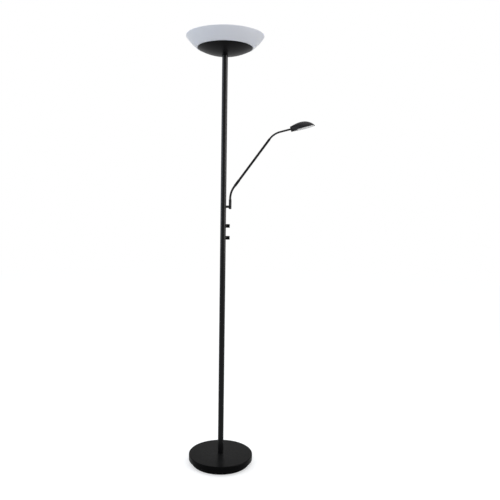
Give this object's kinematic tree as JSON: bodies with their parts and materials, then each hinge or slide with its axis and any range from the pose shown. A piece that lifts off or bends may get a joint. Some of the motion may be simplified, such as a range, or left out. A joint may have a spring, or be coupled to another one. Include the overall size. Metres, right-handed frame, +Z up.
{
  "type": "torchiere floor lamp",
  "caption": "Uplighter floor lamp: round weighted base, slim black pole, opal glass bowl on a black dish, flexible reading arm and rotary dimmer knobs.",
  "frame": {"origin": "on the floor, on the axis of the pole, at the centre of the circle of feet", "axes": "+Z up along the pole; +X towards the reading arm and the knobs; +Y to the back, where the cord enters"},
  "size_m": [0.5376, 0.3224, 1.8],
  "materials": {
    "satin_black": "satin black powder coat",
    "head_black": "satin black paint on aluminium",
    "ballast": "as cast",
    "black_plastic": "fine matt moulding",
    "soft_black": "soft matt rubber",
    "white_plastic": "smooth white moulding",
    "frosted": "frosted white acrylic",
    "opal_glass": "satin opal glass",
    "bare_aluminium": "bare rolled sheet",
    "white_board": "white coated board",
    "zinc_steel": "zinc plated"
  },
  "bodies": {
    "stand": {"base_cover": "satin_black", "base_ballast": "ballast", "base_plinth": "black_plastic", "base_feet": "soft_black", "plinth_screws": "zinc_steel", "cord_gland": "black_plastic", "led_driver": "white_plastic", "terminal_block": "white_plastic", "base_rod": "zinc_steel", "base_washer": "zinc_steel", "base_nut": "zinc_steel", "pole_lower": "satin_black", "pole_middle": "satin_black", "pole_upper": "satin_black", "pole_plugs": "zinc_steel", "pole_couplers": "zinc_steel", "pole_cable": "soft_black", "dimmer_lower": "black_plastic", "dimmer_upper": "black_plastic", "dimmer_nuts": "zinc_steel", "arm_bracket": "satin_black", "bracket_saddle": "zinc_steel", "bracket_nut": "zinc_steel", "cup": "satin_black", "rim_seal": "soft_black", "glass_bowl": "opal_glass", "carrier_plate": "bare_aluminium", "led_ring": "white_board", "diffuser": "frosted", "cup_nipple": "zinc_steel", "nipple_washer": "zinc_steel", "nipple_nuts": "zinc_steel"},
    "lower_neck": {"lower_gooseneck": "satin_black"},
    "arm": {"arm_ferrule": "satin_black", "arm_tube": "satin_black"},
    "upper_neck": {"upper_gooseneck": "satin_black"},
    "head": {"head_shell": "head_black", "head_set_screw": "zinc_steel", "head_lens": "frosted", "head_board": "white_board", "head_reflector": "white_plastic"},
    "lower_knob": {"knob_lower": "black_plastic", "shaft_lower": "zinc_steel"},
    "upper_knob": {"knob_upper": "black_plastic", "shaft_upper": "zinc_steel"}
  },
  "joints": [
    {"name": "lower_neck_pitch", "type": "hinge", "parent": "stand", "child": "lower_neck", "pos_m": [0.0292, 0, 1.14288], "axis": [0, 1, 0], "range_deg": [-30, 35], "deforming": ["lower_gooseneck"]},
    {"name": "lower_neck_side", "type": "hinge", "parent": "lower_neck", "child": "arm", "pos_m": [0.03844, 0, 1.1713], "axis": [-0.882, 0, 0.4712], "range_deg": [-35, 35], "deforming": ["lower_gooseneck"]},
    {"name": "upper_neck_pitch", "type": "hinge", "parent": "arm", "child": "upper_neck", "pos_m": [0.2072, 0, 1.3985], "axis": [0, 1, 0], "range_deg": [-40, 60], "deforming": ["upper_gooseneck"]},
    {"name": "upper_neck_side", "type": "hinge", "parent": "upper_neck", "child": "head", "pos_m": [0.25242, 0, 1.41601], "axis": [-0.2588, 0, 0.9659], "range_deg": [-50, 50], "deforming": ["upper_gooseneck"]},
    {"name": "lower_knob_turn", "type": "hinge", "parent": "stand", "child": "lower_knob", "pos_m": [0.0128, 0, 0.9666], "axis": [1, 0, 0], "range_deg": [0, 270]},
    {"name": "upper_knob_turn", "type": "hinge", "parent": "stand", "child": "upper_knob", "pos_m": [0.0128, 0, 1.0166], "axis": [1, 0, 0], "range_deg": [0, 270]}
  ]
}
